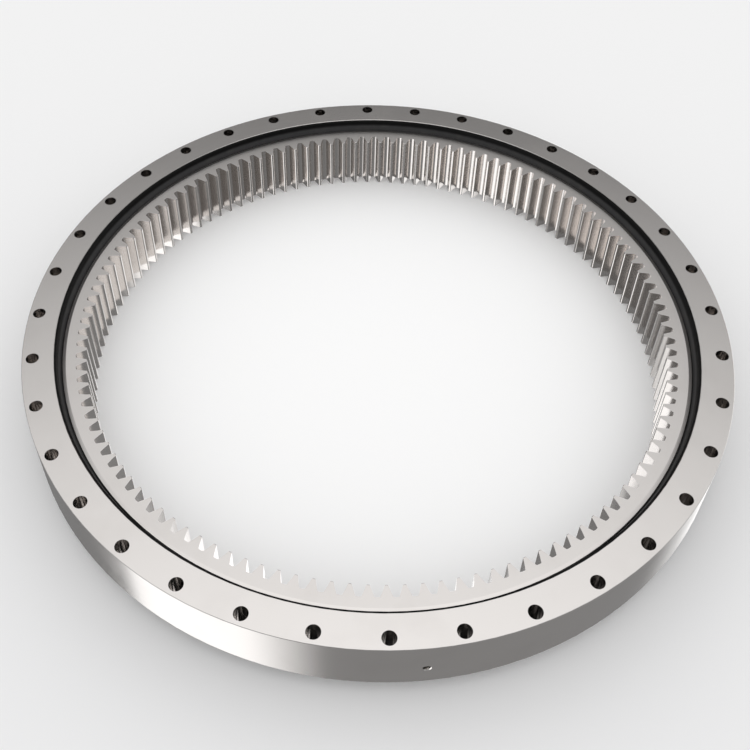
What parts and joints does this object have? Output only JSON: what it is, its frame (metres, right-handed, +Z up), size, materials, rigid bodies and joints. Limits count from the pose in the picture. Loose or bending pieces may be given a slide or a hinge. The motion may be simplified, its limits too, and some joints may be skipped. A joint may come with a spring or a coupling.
{
  "type": "slewing ring bearing",
  "caption": "Large flat ring bearing: a bolted outer ring that turns on an inner ring with gear teeth on its bore.",
  "frame": {"origin": "on the bearing's axis at the gear ring's lower face, the bottom of the part", "axes": "+Z up along the bearing's axis, towards the outer ring's bolting face; +X and +Y in the plane of the rings, a bolt hole lies on +X"},
  "size_m": [1.45, 1.45, 0.157],
  "materials": {
    "gear_steel": "machined",
    "ring_steel": "satin turned",
    "seal_rubber": "matt",
    "plug_steel": "turned",
    "pin_steel": "ground",
    "nipple_steel": "plated",
    "ball_steel": "polished",
    "spacer_plastic": "moulded"
  },
  "bodies": {
    "gear_body": {"inner_gear_ring": "gear_steel"},
    "outer_body": {"outer_ring": "ring_steel", "upper_seal": "seal_rubber", "lower_seal": "seal_rubber", "loading_plug": "plug_steel", "plug_pin": "pin_steel", "grease_nipple_front": "nipple_steel", "grease_nipple_right": "nipple_steel", "grease_nipple_rear": "nipple_steel", "grease_nipple_left": "nipple_steel"},
    "rolling_body": {"balls_1": "ball_steel", "balls_2": "ball_steel", "balls_3": "ball_steel", "balls_4": "ball_steel", "balls_5": "ball_steel", "balls_6": "ball_steel", "balls_7": "ball_steel", "balls_8": "ball_steel", "spacers_1": "spacer_plastic", "spacers_2": "spacer_plastic", "spacers_3": "spacer_plastic", "spacers_4": "spacer_plastic", "spacers_5": "spacer_plastic", "spacers_6": "spacer_plastic", "spacers_7": "spacer_plastic", "spacers_8": "spacer_plastic"}
  },
  "joints": [
    {"name": "slewing", "type": "hinge", "parent": "gear_body", "child": "outer_body", "pos_m": [0, 0, 0.085], "axis": [0, 0, 1], "continuous": true},
    {"name": "ball_train", "type": "hinge", "parent": "gear_body", "child": "rolling_body", "pos_m": [0, 0, 0.085], "axis": [0, 0, 1], "continuous": true}
  ],
  "couplings": [
    {"joint": "ball_train", "follows": "slewing", "ratio": 0.5108}
  ]
}
